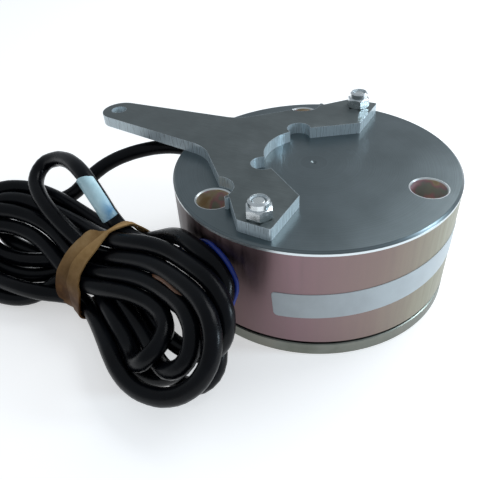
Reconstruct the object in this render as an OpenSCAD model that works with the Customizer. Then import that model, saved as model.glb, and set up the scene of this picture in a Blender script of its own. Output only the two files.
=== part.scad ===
// Spring-applied motor brake with a hand release lever and a bundled lead.
// The brake's axis is Z, its mounting side faces down and its rear face up.
// The lever's handle points along -X and its two studs lie along -Y and +Y.

/* [Magnet body] */
// Diameter of the magnet body
body_d = 130; // [120:1:150]
// Height of the magnet body
body_h = 49.4; // [46:0.1:60]
// Bevel round the rear edge
rear_bevel = 1; // [0.3:0.1:2]
// Bevel round the pole face
pole_bevel = 0.5; // [0.2:0.1:1]
// Diameter of the blind bore for the shaft's end
shaft_bore_d = 29; // [24:0.5:30]
// Depth of the blind bore
shaft_bore_depth = 30; // [10:1:38]
// Inner diameter of the coil's groove
groove_in_d = 56; // [55:0.5:60]
// Outer diameter of the coil's groove
groove_out_d = 88; // [80:0.5:88]
// Depth of the coil's groove
groove_depth = 28; // [20:0.5:30]
// Depth of the turned dimple at the centre of the rear face
centre_mark_depth = 0.6; // [0.2:0.1:1]

/* [Mounting holes] */
// Pitch circle of the three mounting holes
mount_pcd = 104.2; // [103:0.1:106]
// Diameter of a mounting hole
mount_hole_d = 9; // [8.4:0.1:9.4]
// Diameter of the counterbore for the screw's head
counterbore_d = 15; // [13:0.5:16]
// Depth of the counterbore
counterbore_depth = 19; // [10:0.5:20]
// Bevel round the counterbore's mouth
mouth_bevel = 0.5; // [0.2:0.1:1]
// Outer diameter of a spacer bush
bush_d = 13; // [11:0.5:13]
// How far a spacer bush goes up into the magnet body
bush_seat = 12; // [8:0.5:14]

/* [Coil] */
// Wall of the coil's bobbin
bobbin_wall = 1.4; // [1:0.1:2]
// Thickness of the resin ring that closes the groove
potting_t = 3; // [2:0.1:5]
// Radial clearance of the bobbin in its groove
bobbin_clear = 0.15; // [0.05:0.05:0.4]

/* [Armature] */
// Thickness of the armature plate
armature_t = 6.4; // [6:0.1:9]
// Gap between the armature and the pole face with the brake applied
air_gap = 1.2; // [0.5:0.1:1.5]
// Diameter of the armature's centre hole
armature_bore_d = 36; // [32:0.5:38]
// Bevel round the armature's edges
armature_bevel = 0.4; // [0.2:0.1:1]
// Radial clearance of the armature round a spacer bush
bush_clear = 0.8; // [0.4:0.1:1]

/* [Torque springs] */
// Number of torque springs
spring_count = 6; // [4:1:8]
// Circle that the spring pockets lie on
spring_pcd = 42.5; // [42:0.5:43]
// Diameter of a spring pocket
pocket_d = 9; // [8.6:0.1:9.5]
// Depth of a spring pocket
pocket_depth = 22; // [16:0.5:26]
// Mean diameter of a spring's coil
spring_mean_d = 6.4; // [5.5:0.1:6.6]
// Diameter of the spring's wire
spring_wire_d = 1.6; // [1.2:0.1:1.8]
// Open turns of a spring between its closed ends
spring_turns = 4; // [4:1:6]

/* [Release studs] */
// Diameter of a release stud
stud_d = 6; // [5:0.1:6.4]
// Distance from the axis to a stud, along Y
stud_y = 54.4; // [53:0.1:55]
// Place of the studs along X
stud_x = 1; // [0:0.5:2]
// Diameter of the clearance hole round a stud in the magnet body
stud_hole_d = 7; // [6.8:0.1:8]
// Diameter of a stud's flat head
stud_head_d = 9.6; // [8.5:0.1:10]
// Thickness of a stud's flat head
stud_head_t = 2.6; // [2:0.1:3.5]
// How far a stud's end stays below the top of its nut
stud_short = 0.7; // [0.3:0.1:2]
// Clearance between mating threads and round a seated head
fit_clear = 0.05; // [0.02:0.01:0.1]

/* [Lock nuts] */
// Width of a nut across its flats
nut_af = 10; // [9:0.1:10]
// Height of a nut with its collar
nut_h = 7.6; // [7:0.1:9]
// Height of a nut's hexagon
nut_hex_h = 4.6; // [4:0.1:5]
// Diameter of a nut's round collar
collar_d = 8.7; // [8.4:0.1:9]
// Outer diameter of the locking ring in the collar
nylon_d = 7.5; // [7.2:0.1:7.8]
// Height of the locking ring
nylon_t = 1.7; // [1:0.1:2]
// Lip that holds the locking ring down
collar_lip = 0.5; // [0.3:0.1:0.6]

/* [Release lever] */
// Thickness of the lever plate
lever_t = 5.5; // [4.5:0.1:6]
// Distance across the fork's outer edges
fork_span = 121.4; // [119:0.2:123]
// Distance between the fork's tips
fork_gap = 71.2; // [68:0.2:74]
// How far the fork's tips reach past the axis
tip_reach = 9.1; // [8.8:0.1:12]
// Distance from the axis to the handle's end
handle_reach = 124; // [110:1:140]
// Width of the handle where it leaves the fork
handle_root_w = 31.2; // [28:0.2:34]
// Radius of the handle's rounded end
handle_end_r = 10; // [8:0.5:11]
// Fillet where the handle runs into the fork
shoulder_r = 20; // [10:1:25]
// Radius of the notch that leaves a mounting hole open
notch_r = 8.8; // [8.2:0.1:9.5]
// Radius of the arc between the fork's arms
throat_r = 22.8; // [20:0.1:24]
// Radius of the round relief at each end of that arc
relief_r = 5.6; // [4.5:0.1:6]
// Radius of the fork tips' corners
tip_corner_r = 1; // [0.5:0.1:2]
// Diameter of a stud's hole in the lever
lever_stud_hole_d = 7.4; // [7.4:0.1:8]
// Diameter of the hole near the handle's end
handle_hole_d = 8; // [6:0.1:9]
// Distance from that hole to the handle's end
handle_hole_in = 8.5; // [7.5:0.5:12]

/* [Label] */
// Length of the label round the body
label_len = 100; // [60:1:110]
// Width of the label
label_w = 12.8; // [10:0.1:16]
// Thickness of the label
label_t = 0.2; // [0.1:0.05:0.3]
// Height of the label's middle above the pole face
label_up = 23.2; // [20:0.1:26]
// Slope of the label
label_slope = 3.1; // [0:0.1:5]
// Radius of the label's corners
label_corner_r = 1.6; // [0.5:0.1:3]

/* [Lead] */
// Diameter of the lead
cord_d = 7.5; // [7:0.1:8]
// Height of the lead's exit above the pole face
exit_up = 40.4; // [38:0.1:41]
// Diameter of the grommet in its hole
grommet_d = 10; // [9.5:0.1:11]
// Diameter of the grommet's collar
grommet_collar_d = 12.6; // [12:0.1:13.5]
// Thickness of the grommet's collar
grommet_collar_t = 2; // [1:0.1:4]
// How far the grommet goes into the wall
grommet_depth = 8; // [6:0.5:10]
// Width of the rubber band
band_w = 9; // [6:0.5:10]
// Thickness of the rubber band's two layers
band_t = 1.2; // [0.8:0.1:2]
// Diameter of one insulated core
core_d = 2.4; // [2:0.1:3]
// Diameter of a core's bare conductor
wire_d = 1.2; // [0.8:0.1:1.4]
// Length of a core's bare end
wire_len = 6; // [4:0.5:10]

/* [Hidden] */
$fn = 96;
EPS = 0.01;

// Heights of the main faces
pole_z = armature_t + air_gap;
rear_z = pole_z + body_h;
lever_top_z = rear_z + lever_t;
groove_top_z = pole_z + groove_depth;
pocket_top_z = pole_z + pocket_depth;
exit_z = pole_z + exit_up;
body_r = body_d / 2;
HOLE_ANGLES = [0, 120, 240];
LEFT = -1;
RIGHT = 1;

// Bobbin inside the groove
bobbin_in_r = groove_in_d / 2 + bobbin_clear;
bobbin_out_r = groove_out_d / 2 - bobbin_clear;
bobbin_low_z = pole_z + potting_t;

// Seat of a release stud in the armature
stud_head_z = 0.4;
stud_seat_z = stud_head_z + stud_head_t;
stud_top_z = lever_top_z + nut_h - stud_short;

// Lever's outline: the fork's arms, the flanks past the notches and the handle
arm_y = fork_span / 2;
tip_y = fork_gap / 2;
handle_root_x = -56;
handle_end_x = handle_end_r - handle_reach;
handle_rise = atan((handle_root_w / 2 - handle_end_r) / (handle_root_x - handle_end_x));
hole_xy = mount_pcd / 2 * [cos(120), sin(120)];
flank_xy = hole_xy + notch_r * [cos(-106), sin(-106)];
shank_xy = hole_xy + (notch_r + 1.3) * [cos(17), sin(17)];
arm_corner_x = -5.7;
throat_slope_xy = [-12, 20.4];
relief_xy = [-16.3, 18.6];

// Points of the lead, from its exit to the hank, and of the loose loop over the hank
CORD_RUN = [[-60, 0, 48], [-70, 0, 48.5], [-78, -1, 49.5], [-85, -6, 49.5], [-91, -10, 48], [-96, -13, 47],
            [-102, -17, 45.5], [-107, -22, 44], [-110.5, -28, 42], [-114, -33, 39], [-117, -38.5, 35.5],
            [-119.5, -44, 32], [-120, -51.3, 28.7]];
CORD_LOOP = [[-83.6, -73.9, 37], [-89.6, -73.2, 38], [-95.9, -72.1, 39.8], [-102.5, -70.1, 42.5],
             [-109.3, -67.2, 45.6], [-117.2, -63.7, 48.4], [-125.1, -57.1, 49.8], [-125.7, -51.1, 52.8],
             [-116.6, -49, 57], [-102.1, -52.4, 60.5], [-89.5, -57.6, 61.5], [-81.9, -61.4, 59.8],
             [-76.8, -62.1, 55], [-73.9, -61.2, 48], [-70.4, -61.1, 40.8]];
SLEEVE_RUN = [[-89.5, -57.6, 61.5], [-81.9, -61.4, 59.8], [-76.8, -62.1, 55], [-73.9, -61.2, 48]];
BLUE_RUN = [[-38, -66, 44], [-31, -69, 50], [-24, -69, 52], [-17, -70, 53], [-9, -72, 52], [-3, -73.5, 50.5],
            [2.4, -76.2, 49.2], [5.8, -77.1, 45.6], [7.5, -77.1, 40.9], [7.6, -76.8, 35.9], [7.3, -76, 31.3]];
BROWN_RUN = [[-42, -73, 42], [-34, -79, 40], [-28, -80, 40], [-22, -82, 39], [-16, -85, 37]];

// Hank of cord: its waist under the band and the fans of loops at its two ends
HANK = [-85, -66, 23.5];
HANK_TILT = 40;
hank_t = 18;
waist_r = 20.5;
waist_v = -4;
WAIST_ENDS = [-3, 13];
band_run = 7;
FAN_RIGHT = [64, 3, 33];
FAN_LEFT = [43, -0.5, 31];
RIGHT_TURN = -21.7;
LEFT_TURN = 17.5;
SOFT_CLEAR = 0.3;

function unit(v) = v / norm(v);
function wrap(i, n) = (i + n) % n;

// Closed outline whose convex corners are rounded by true arcs
module rounded_outline(points, radii) {
    n = len(points);
    back = [for (i = [0:n - 1]) unit(points[wrap(i - 1, n)] - points[i])];
    ahead = [for (i = [0:n - 1]) unit(points[wrap(i + 1, n)] - points[i])];
    half = [for (i = [0:n - 1]) acos(back[i] * ahead[i]) / 2];
    corners = [for (i = [0:n - 1])
        radii[i] == 0 ? [points[i]]
        : [points[i] + back[i] * radii[i] / tan(half[i]), points[i] + ahead[i] * radii[i] / tan(half[i])]];
    polygon([for (pair = corners) each pair]);
    for (i = [0:n - 1])
        if (radii[i] > 0)
            translate(points[i] + unit(back[i] + ahead[i]) * radii[i] / sin(half[i])) circle(r = radii[i]);
}

// Rings of a round tube swept along points, and the tube as one closed skin
function tangent(points, i) =
    unit(points[min(i + 1, len(points) - 1)] - points[max(i - 1, 0)]);
function ring(centre, along, r, sides) =
    let (flat = unit(cross(along, abs(along.z) > 0.9 ? [1, 0, 0] : [0, 0, 1])), up = cross(flat, along))
    [for (k = [0:sides - 1]) centre + r * (cos(360 * k / sides) * flat + sin(360 * k / sides) * up)];
function tube_faces(rings, sides) = concat(
    [[for (k = [0:sides - 1]) k]],
    [for (i = [0:rings - 2], k = [0:sides - 1])
        let (here = i * sides, next = here + sides, j = (k + 1) % sides)
        each [[here + k, next + k, next + j], [here + k, next + j, here + j]]],
    [[for (k = [sides - 1:-1:0]) (rings - 1) * sides + k]]);

module tube(points, d, sides = 8) {
    // the sides' outline has the area of the round cord
    r = d / 2 / sqrt(sides / 360 * sin(360 / sides) * 180 / PI);
    n = len(points);
    polyhedron(
        points = [for (i = [0:n - 1]) each ring(points[i], tangent(points, i), r, sides)],
        faces = tube_faces(n, sides),
        convexity = 6);
}

// Magnet body: a turned pot of steel with the coil's groove, the spring pockets,
// the three mounting holes, the two stud holes and the lead's duct
module magnet_body() {
    color([0.70, 0.62, 0.52])
    difference() {
        translate([0, 0, pole_z]) turned_disc(body_r, body_h, pole_bevel, rear_bevel);
        coil_groove();
        translate([0, 0, pole_z - EPS]) cylinder(d = shaft_bore_d, h = shaft_bore_depth + EPS);
        for (i = [0:spring_count - 1]) rotate([0, 0, (i + 0.5) * 360 / spring_count])
            translate([spring_pcd / 2, 0, pole_z - EPS]) cylinder(d = pocket_d, h = pocket_depth + EPS);
        for (a = HOLE_ANGLES) rotate([0, 0, a]) translate([mount_pcd / 2, 0, 0]) mounting_hole();
        for (side = [LEFT, RIGHT]) translate([stud_x, side * stud_y, pole_z - EPS])
            cylinder(d = stud_hole_d, h = body_h + 2 * EPS);
        lead_duct();
        translate([0, 0, rear_z - centre_mark_depth]) cylinder(d1 = 0, d2 = 3, h = centre_mark_depth + EPS);
    }
}

module turned_disc(r, h, low, high) {
    rotate_extrude() polygon([[0, 0], [r - low, 0], [r, low], [r, h - high], [r - high, h], [0, h]]);
}

module coil_groove() {
    translate([0, 0, pole_z - EPS]) difference() {
        cylinder(d = groove_out_d, h = groove_depth + EPS);
        translate([0, 0, -EPS]) cylinder(d = groove_in_d, h = groove_depth + 3 * EPS);
    }
}

// Mounting hole: seat for the spacer bush, clear hole, counterbore and bevelled mouth
module mounting_hole() {
    translate([0, 0, pole_z - EPS]) cylinder(d = bush_d + 2 * fit_clear, h = bush_seat + EPS);
    translate([0, 0, pole_z]) cylinder(d = mount_hole_d, h = body_h);
    translate([0, 0, rear_z - counterbore_depth]) cylinder(d = counterbore_d, h = counterbore_depth + EPS);
    translate([0, 0, rear_z - mouth_bevel])
        cylinder(d1 = counterbore_d, d2 = counterbore_d + 2 * (mouth_bevel + EPS), h = mouth_bevel + EPS);
}

// Duct of the lead: a hole through the wall that meets a drilling from the groove
module lead_duct() {
    duct_r = groove_out_d / 2 - grommet_d / 2;
    translate([0, 0, exit_z]) rotate([0, -90, 0]) translate([0, 0, duct_r])
        cylinder(d = grommet_d, h = body_r - duct_r + 1);
    translate([-duct_r, 0, groove_top_z - 1]) cylinder(d = cord_d, h = exit_z - groove_top_z + 1);
}

// Coil: a moulded bobbin, its copper winding and the resin ring in the groove's mouth
module coil_bobbin() {
    color([0.85, 0.82, 0.72])
    rotate_extrude() union() {
        translate([bobbin_in_r, bobbin_low_z]) square([bobbin_wall, groove_top_z - bobbin_low_z]);
        translate([bobbin_in_r, bobbin_low_z]) square([bobbin_out_r - bobbin_in_r, bobbin_wall]);
        translate([bobbin_in_r, groove_top_z - bobbin_wall]) square([bobbin_out_r - bobbin_in_r, bobbin_wall]);
    }
}

module coil_winding() {
    low = bobbin_low_z + bobbin_wall;
    color([0.72, 0.40, 0.20])
    rotate_extrude() translate([bobbin_in_r + bobbin_wall, low])
        square([bobbin_out_r - bobbin_in_r - bobbin_wall - 1, groove_top_z - bobbin_wall - low]);
}

module potting_ring() {
    color([0.18, 0.18, 0.17])
    rotate_extrude() translate([groove_in_d / 2, pole_z + 0.1])
        square([(groove_out_d - groove_in_d) / 2, potting_t - 0.1]);
}

// Armature: a flat ring that the springs push away from the pole face
module armature_plate() {
    color([0.55, 0.58, 0.54])
    difference() {
        turned_disc(body_r, armature_t, armature_bevel, armature_bevel);
        translate([0, 0, -EPS]) cylinder(d = armature_bore_d, h = armature_t + 2 * EPS);
        for (a = HOLE_ANGLES) rotate([0, 0, a]) translate([mount_pcd / 2, 0, -EPS])
            cylinder(d = bush_d + 2 * bush_clear, h = armature_t + 2 * EPS);
        for (side = [LEFT, RIGHT]) translate([stud_x, side * stud_y, -EPS]) {
            cylinder(d = stud_d + 2 * fit_clear, h = armature_t + 2 * EPS);
            cylinder(d = stud_head_d + 2 * fit_clear, h = stud_seat_z + EPS);
        }
    }
}

// Torque springs: closed turns at both ends, open turns between, one in each pocket
module torque_springs() {
    color([0.45, 0.45, 0.46])
    for (i = [0:spring_count - 1]) rotate([0, 0, (i + 0.5) * 360 / spring_count])
        translate([spring_pcd / 2, 0, armature_t]) coil_spring(pocket_top_z - armature_t);
}

module coil_spring(length) {
    steps = 10;
    closed = 0.9;
    turns = spring_turns + 2 * closed;
    low = spring_wire_d / 2;
    dead = closed * spring_wire_d * 1.05;
    open = (length - spring_wire_d - 2 * dead) / spring_turns;
    function height(t) =
        t < closed ? low + t * dead / closed
        : t > turns - closed ? length - low - (turns - t) * dead / closed
        : low + dead + (t - closed) * open;
    tube([for (k = [0:round(turns * steps)])
            let (t = k / steps, a = 360 * t)
            [spring_mean_d / 2 * cos(a), spring_mean_d / 2 * sin(a), height(min(t, turns))]],
         spring_wire_d * 0.97, 5);
}

// Spacer bushes: hollow sleeves that the mounting screws pass through
module spacer_bushes() {
    stand_off = 0.5;
    color([0.75, 0.70, 0.52])
    for (a = HOLE_ANGLES) rotate([0, 0, a]) translate([mount_pcd / 2, 0, stand_off]) difference() {
        turned_disc(bush_d / 2, pole_z + bush_seat - stand_off, 0.5, 0.5);
        translate([0, 0, -EPS]) cylinder(d = mount_hole_d, h = pole_z + bush_seat + 2 * EPS);
    }
}

// Release stud: a flat head let into the armature and a shank through the body and the lever
module release_stud(side) {
    color([0.76, 0.77, 0.76])
    translate([stud_x, side * stud_y, 0]) {
        translate([0, 0, stud_head_z]) cylinder(d = stud_head_d, h = stud_head_t);
        translate([0, 0, stud_head_z]) turned_disc(stud_d / 2, stud_top_z - stud_head_z, 0.1, 0.8);
    }
}

module release_stud_left() { release_stud(LEFT); }
module release_stud_right() { release_stud(RIGHT); }

// Lock nut: a bevelled hexagon with a round collar that holds the locking ring
module lock_nut(side) {
    color([0.80, 0.81, 0.80])
    translate([stud_x, side * stud_y, lever_top_z]) difference() {
        union() {
            intersection() {
                cylinder(d = nut_af / cos(30), h = nut_hex_h, $fn = 6);
                rotate_extrude() polygon([[0, 0], [nut_af / 2 - 0.1, 0], [nut_af / 2 + 0.9, 0.6],
                                          [nut_af / 2 + 0.9, nut_hex_h - 0.7], [nut_af / 2 - 0.3, nut_hex_h],
                                          [0, nut_hex_h]]);
            }
            turned_disc(collar_d / 2, nut_h, 0.1, 0.7);
        }
        translate([0, 0, -EPS]) cylinder(d = stud_d + 2 * fit_clear, h = nut_h + 2 * EPS);
        translate([0, 0, -EPS]) cylinder(d1 = stud_d + 1.4, d2 = stud_d, h = 0.7);
        translate([0, 0, nut_h - collar_lip - nylon_t]) cylinder(d = nylon_d, h = nylon_t);
        translate([0, 0, nut_h - collar_lip - EPS]) cylinder(d = stud_d + 0.6, h = collar_lip + 2 * EPS);
    }
}

module lock_nut_left() { lock_nut(LEFT); }
module lock_nut_right() { lock_nut(RIGHT); }

module nylon_ring(side) {
    color([0.80, 0.84, 0.86])
    translate([stud_x, side * stud_y, lever_top_z + nut_h - collar_lip - nylon_t]) difference() {
        cylinder(d = nylon_d, h = nylon_t);
        translate([0, 0, -EPS]) cylinder(d = stud_d + 2 * fit_clear, h = nylon_t + 2 * EPS);
    }
}

module nylon_ring_left() { nylon_ring(LEFT); }
module nylon_ring_right() { nylon_ring(RIGHT); }

// Release lever: one flat plate with a fork round the axis and a tapered handle.
// The fork's tips are its fulcrum: they stay on the rear face while the handle lifts.
module release_lever() {
    color([0.62, 0.66, 0.66])
    difference() {
        translate([0, 0, rear_z]) linear_extrude(lever_t) difference() {
            union() {
                handle_outline();
                for (side = [LEFT, RIGHT]) scale([1, side]) {
                    arm_outline();
                    shoulder_fillet();
                }
            }
            throat_outline();
            for (side = [LEFT, RIGHT]) translate([hole_xy.x, side * hole_xy.y]) circle(r = notch_r);
        }
        for (side = [LEFT, RIGHT]) translate([stud_x, side * stud_y, rear_z - EPS])
            cylinder(d = lever_stud_hole_d, h = lever_t + 2 * EPS);
        translate([handle_hole_in - handle_reach, 0, rear_z - EPS])
            cylinder(d = handle_hole_d, h = lever_t + 2 * EPS);
    }
}

// Arm of the fork on the +Y side, with its flank towards the handle
module arm_outline() {
    root_y = handle_root_w / 2 + (flank_xy.x - handle_root_x) * tan(handle_rise);
    meet_x = flank_xy.x - (flank_xy.y - root_y) / (1 - tan(handle_rise));
    rounded_outline(
        [[tip_reach, -EPS], [tip_reach, arm_y], [arm_corner_x, arm_y], shank_xy, flank_xy,
         [meet_x, flank_xy.y - flank_xy.x + meet_x], [meet_x, -EPS]],
        [0, tip_corner_r, 2, 1, 0, 0, 0]);
}

module handle_outline() {
    end_y = handle_end_r * cos(handle_rise);
    end_x = handle_end_x - handle_end_r * sin(handle_rise);
    root_x = -relief_r - throat_r;
    root_y = handle_root_w / 2 + (root_x - handle_root_x) * tan(handle_rise);
    polygon([[end_x, -end_y], [root_x, -root_y], [root_x, root_y], [end_x, end_y]]);
    translate([handle_end_x, 0]) circle(r = handle_end_r);
}

// Hollow fillet between the handle's edge and the fork's 45 degree flank
module shoulder_fillet() {
    slope = tan(handle_rise);
    corner_x = (handle_root_w / 2 - handle_root_x * slope - flank_xy.y + flank_xy.x) / (1 - slope);
    corner = [corner_x, flank_xy.y - flank_xy.x + corner_x];
    reach = shoulder_r * tan((45 - handle_rise) / 2);
    on_flank = corner + reach * [cos(45), sin(45)];
    on_handle = corner - reach * [cos(handle_rise), sin(handle_rise)];
    centre = on_handle + shoulder_r * [-sin(handle_rise), cos(handle_rise)];
    difference() {
        polygon([on_handle, corner - [0, 2], on_flank + [2, -2], on_flank]);
        translate(centre) circle(r = shoulder_r);
    }
}

// Space between the arms: straight flanks, an arc about the axis and two round reliefs
module throat_outline() {
    past = tip_reach + 1;
    wide = tip_y + (tip_y - throat_slope_xy.y) / (tip_reach - throat_slope_xy.x);
    polygon([[past, -wide], [past, wide], throat_slope_xy, relief_xy,
             [relief_xy.x, -relief_xy.y], [throat_slope_xy.x, -throat_slope_xy.y]]);
    circle(r = throat_r);
    for (side = [LEFT, RIGHT]) translate([relief_xy.x, side * relief_xy.y]) circle(r = relief_r);
}

// Grommet: a rubber bush in the wall with a collar outside
module cable_grommet() {
    color([0.10, 0.10, 0.10])
    translate([0, 0, exit_z]) rotate([0, -90, 0]) difference() {
        union() {
            translate([0, 0, body_r - grommet_depth])
                cylinder(d = grommet_d - 2 * fit_clear, h = grommet_depth + EPS);
            translate([0, 0, body_r]) turned_disc(grommet_collar_d / 2, grommet_collar_t, 0.1, 0.6);
        }
        translate([0, 0, body_r - grommet_depth - 1])
            cylinder(d = cord_d, h = grommet_depth + grommet_collar_t + 2);
    }
}

// Label: a blank strip with rounded corners that follows the round wall
module blank_label() {
    middle = -36.5;
    half_chord = body_r * sin(label_len / 2 / body_r * 180 / PI);
    color([0.86, 0.88, 0.88])
    intersection() {
        translate([0, 0, pole_z]) difference() {
            cylinder(r = body_r + label_t, h = body_h);
            translate([0, 0, -EPS]) cylinder(r = body_r, h = body_h + 2 * EPS);
        }
        rotate([0, 0, middle]) translate([body_r / 2, 0, pole_z + label_up]) rotate([label_slope, 0, 0])
            rotate([90, 0, 90]) linear_extrude(body_r) rounded_outline(
                [[-half_chord, -label_w / 2], [half_chord, -label_w / 2],
                 [half_chord, label_w / 2], [-half_chord, label_w / 2]],
                [for (i = [1:4]) label_corner_r]);
    }
}

// Lead: the stretch from the exit to the hank, and the loose loop that lies on the hank
module power_cord() { color([0.08, 0.08, 0.09]) tube(CORD_RUN, cord_d); }
module cord_loop() { color([0.08, 0.08, 0.09]) tube(CORD_LOOP, cord_d); }

// Frame of one half of the hank: along its length, across its slope and out of it
module hank_half(turn) {
    translate(HANK) rotate([0, 0, turn]) rotate([HANK_TILT, 0, 0]) children();
}

// Disc with a round rim
module pill(r, t) {
    rotate_extrude($fn = 32) intersection() {
        union() {
            translate([0, -t / 2]) square([r - t / 2, t]);
            translate([r - t / 2, 0]) circle(d = t, $fn = 16);
        }
        translate([0, -t]) square([r + 1, 2 * t]);
    }
}

// Rounded bar across the hank's waist, at a distance along its right half
module waist_bar(run) {
    hank_half(RIGHT_TURN) for (side = [LEFT, RIGHT])
        translate([run, waist_v + side * (waist_r - hank_t / 2), 0]) sphere(d = hank_t, $fn = 24);
}

// Hank: the outer shape of the bundled turns, narrow under the band and fanned at both ends,
// leaning back against the body's wall
module cord_hank() {
    color([0.09, 0.09, 0.10])
    difference() {
        union() {
            hull() {
                hank_half(LEFT_TURN) translate([-FAN_LEFT[0], FAN_LEFT[1], 0]) pill(FAN_LEFT[2], hank_t);
                waist_bar(WAIST_ENDS[0]);
            }
            hull() for (run = WAIST_ENDS) waist_bar(run);
            hull() {
                waist_bar(WAIST_ENDS[1]);
                hank_half(RIGHT_TURN) translate([FAN_RIGHT[0], FAN_RIGHT[1], 0]) pill(FAN_RIGHT[2], hank_t);
            }
        }
        cylinder(r = body_r + label_t + SOFT_CLEAR, h = 3 * body_h, center = true);
    }
}

// Rubber band: two flat layers round the waist of the hank
module rubber_band() {
    color([0.72, 0.55, 0.36])
    hank_half(RIGHT_TURN) translate([band_run, waist_v, 0]) rotate([90, 0, 90])
        linear_extrude(band_w, center = true) difference() {
            waist_outline(SOFT_CLEAR + band_t);
            waist_outline(SOFT_CLEAR);
        }
}

module waist_outline(grow) {
    half = waist_r - hank_t / 2;
    r = hank_t / 2 + grow;
    square([2 * half, 2 * r], center = true);
    for (side = [LEFT, RIGHT]) translate([side * half, 0]) circle(r = r);
}

// Sleeve of pale tape round the loose loop, and the two stripped cores at the lead's far end
module tape_sleeve() { color([0.72, 0.80, 0.84]) tube(SLEEVE_RUN, cord_d + 0.8); }
module blue_core() { color([0.05, 0.12, 0.55]) tube(BLUE_RUN, core_d, 6); }
module brown_core() { color([0.30, 0.16, 0.08]) tube(BROWN_RUN, core_d, 6); }
module wire_end(run) {
    last = run[len(run) - 1];
    along = tangent(run, len(run) - 1);
    color([0.75, 0.45, 0.28]) tube([last, last + wire_len * along], wire_d, 6);
}
module blue_wire_end() { wire_end(BLUE_RUN); }
module brown_wire_end() { wire_end(BROWN_RUN); }

magnet_body();
coil_bobbin();
coil_winding();
potting_ring();
armature_plate();
torque_springs();
spacer_bushes();
release_stud_left();
release_stud_right();
lock_nut_left();
lock_nut_right();
nylon_ring_left();
nylon_ring_right();
release_lever();
cable_grommet();
blank_label();
power_cord();
cord_loop();
cord_hank();
rubber_band();
tape_sleeve();
blue_core();
brown_core();
blue_wire_end();
brown_wire_end();
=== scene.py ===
import math
import bmesh
import bpy
import numpy as np
from mathutils import Matrix, Vector


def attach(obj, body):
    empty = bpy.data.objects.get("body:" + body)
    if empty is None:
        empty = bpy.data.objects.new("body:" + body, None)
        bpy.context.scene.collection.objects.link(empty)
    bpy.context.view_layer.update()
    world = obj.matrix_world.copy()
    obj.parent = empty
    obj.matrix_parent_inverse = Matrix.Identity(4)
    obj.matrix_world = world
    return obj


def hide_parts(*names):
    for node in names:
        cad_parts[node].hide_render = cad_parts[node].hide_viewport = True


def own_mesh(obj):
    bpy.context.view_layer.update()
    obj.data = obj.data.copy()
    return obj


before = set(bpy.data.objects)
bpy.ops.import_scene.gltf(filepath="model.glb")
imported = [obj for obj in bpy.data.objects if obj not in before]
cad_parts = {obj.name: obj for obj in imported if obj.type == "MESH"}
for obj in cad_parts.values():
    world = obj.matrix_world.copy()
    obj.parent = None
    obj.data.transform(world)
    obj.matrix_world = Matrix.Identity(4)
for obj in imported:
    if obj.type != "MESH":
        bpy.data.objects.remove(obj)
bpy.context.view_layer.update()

# Camera: it stands in front, a little toward the side away from the handle, and looks down
# at the rear face, turned four degrees about its line of sight, as the photograph is.
camera_place = (0.08036, -0.19375, 0.17736)
azimuth = math.radians(32.4)
elevation = math.radians(38.2335)
camera_roll = math.radians(-4.1024)
camera_data = bpy.data.cameras.new("camera")
camera_data.lens = 38.61
camera_data.sensor_width = 36
camera_data.shift_x = -0.0022
camera_data.clip_start = 0.01
camera = bpy.data.objects.new("camera", camera_data)
bpy.context.scene.collection.objects.link(camera)
camera_back = Vector((math.sin(azimuth) * math.cos(elevation),
                      -math.cos(azimuth) * math.cos(elevation), math.sin(elevation)))
level_right = Vector((math.cos(azimuth), math.sin(azimuth), 0))
level_up = camera_back.cross(level_right)
camera_right = level_right * math.cos(camera_roll) + level_up * math.sin(camera_roll)
camera_up = level_up * math.cos(camera_roll) - level_right * math.sin(camera_roll)
camera.matrix_world = Matrix.Translation(camera_place) @ Matrix(
    (camera_right, camera_up, camera_back)).transposed().to_4x4()
bpy.context.scene.camera = camera

# Lead: one black two-core cable. It leaves the wall under the handle, makes a bundle
# of six turns beside the brake, comes out as a loose loop over the bundle, and goes
# back under the rubber band, where its sheath ends and two stripped cores come out.
cord_d = 0.0075
wall_r = 0.0652
# the free stretch from the wall to the bundle, in millimetres
run_points = [(-60, 0, 48), (-70, 0, 48.5), (-78, -1, 49.5), (-85, -6, 49.5), (-91, -10, 48),
              (-96, -13, 47), (-102, -17, 45.5), (-107, -22, 44), (-110.5, -28, 42), (-114, -33, 39),
              (-117, -38.5, 35.5), (-119.5, -44, 32), (-120, -51.3, 28.7)]
hank_middle = Vector((-0.085, -0.066, 0.0235))
hank_tilt = math.radians(40)
right_turn = math.radians(-21.7)
left_turn = math.radians(17.5)


def in_hank(angle, along, across, out):
    """Place in one half of the bundle, in millimetres along, across and out of its slope."""
    flat = Matrix.Rotation(angle, 3, "Z") @ Matrix.Rotation(hank_tilt, 3, "X")
    return hank_middle + flat @ Vector((along, across, out)) / 1000


# one turn after another, each a left fan, a slot through the band, a right fan and a slot back. A fan
# is its far end, its highest and lowest run, the layer of each, and how low it starts, in millimetres
turns = [
    {"left": (-64, 28, 1, -8, -8, -6), "under": (-14, -6.5),
     "right": (85.5, 36.5, -24, -2.5, -5, -21), "over": (11.5, -3.5)},
    {"left": (-75, 28, -20, -3, -4, -27), "under": (-6.5, -6.5),
     "right": (88, 7, -17.5, -5, -5.5, -14), "over": (8.5, -6.5)},
    {"left": (-70, 22, -14, -5, -5.5, -19), "under": (1, -6.5),
     "right": (88, 28.5, -8, 2, -5, -6), "over": (8.5, 6.5)},
    {"left": (-66, 19, -5, 2, -2, -10), "under": (-3.5, 0),
     "right": (88.5, 12, -13, 4, -2.5, -9), "over": (-6.5, 6.5)},
    {"left": (-73, 14, -22, 4, 1, -28), "under": (-11, 0),
     "right": (79, 3, -20.5, 3.5, 2, -13), "over": (-14, 6.5)},
    {"left": (-67, 9, -20, 4, 3, -24.5), "under": (-21.5, 0.5),
     "right": (98, 20, -21, 5, 4, -20), "over": (1, 6.5)},
]
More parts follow.
